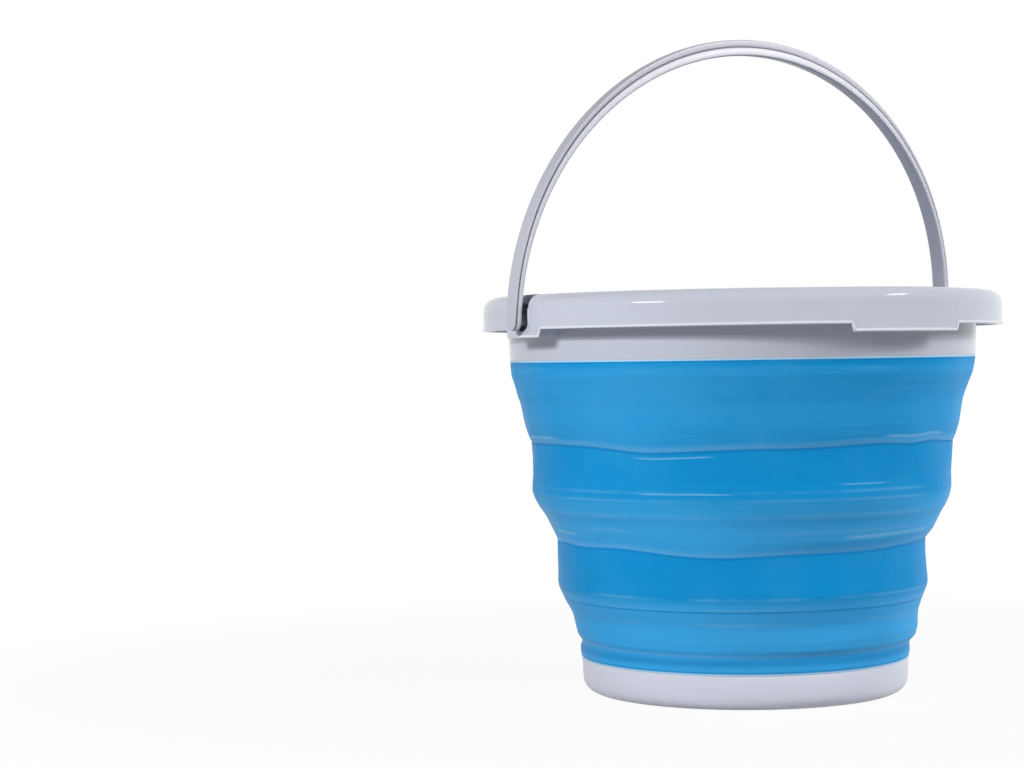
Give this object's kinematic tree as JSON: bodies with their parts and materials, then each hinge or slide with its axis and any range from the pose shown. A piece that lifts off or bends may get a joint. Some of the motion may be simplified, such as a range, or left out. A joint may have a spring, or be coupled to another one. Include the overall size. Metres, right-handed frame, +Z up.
{
  "type": "collapsible bucket",
  "caption": "Round folding camp bucket: stiff rim with pouring spout and hanging lug, soft stepped wall that folds into itself, stiff base and swing handle.",
  "frame": {"origin": "centre of the base's flat underside", "axes": "+Z up, along the bucket's axis; +X along the handle's pivot line; -Y towards the pouring spout and +Y towards the hanging lug"},
  "size_m": [0.3278, 0.3396, 0.393],
  "materials": {
    "grey_plastic": "cool light grey injection-moulded polypropylene, satin gloss",
    "handle_plastic": "cool grey injection-moulded polypropylene, satin gloss, a shade darker than the rim",
    "blue_rubber": "bright blue soft moulded thermoplastic rubber, satin"
  },
  "bodies": {
    "base": {"base": "grey_plastic", "wall_bottom_cuff": "blue_rubber", "wall_lower_web": "blue_rubber"},
    "lower_ring": {"wall_lower_band": "blue_rubber", "wall_middle_web": "blue_rubber"},
    "upper_ring": {"wall_upper_band": "blue_rubber", "wall_upper_web": "blue_rubber"},
    "rim": {"rim": "grey_plastic", "wall_top_cuff": "blue_rubber", "hang_lug": "grey_plastic"},
    "handle": {"handle": "handle_plastic"}
  },
  "joints": [
    {"name": "lower_fold", "type": "slide", "parent": "base", "child": "lower_ring", "axis": [0, 0, 1], "range_m": [-0.06, 0], "deforming": ["wall_lower_web"]},
    {"name": "middle_fold", "type": "slide", "parent": "lower_ring", "child": "upper_ring", "axis": [0, 0, 1], "range_m": [-0.057, 0], "deforming": ["wall_middle_web"]},
    {"name": "upper_fold", "type": "slide", "parent": "upper_ring", "child": "rim", "axis": [0, 0, 1], "range_m": [-0.072, 0], "deforming": ["wall_upper_web"]},
    {"name": "handle_swing", "type": "hinge", "parent": "rim", "child": "handle", "pos_m": [0, 0, 0.2249], "axis": [1, 0, 0], "range_deg": [-94.4, 84.6]}
  ]
}
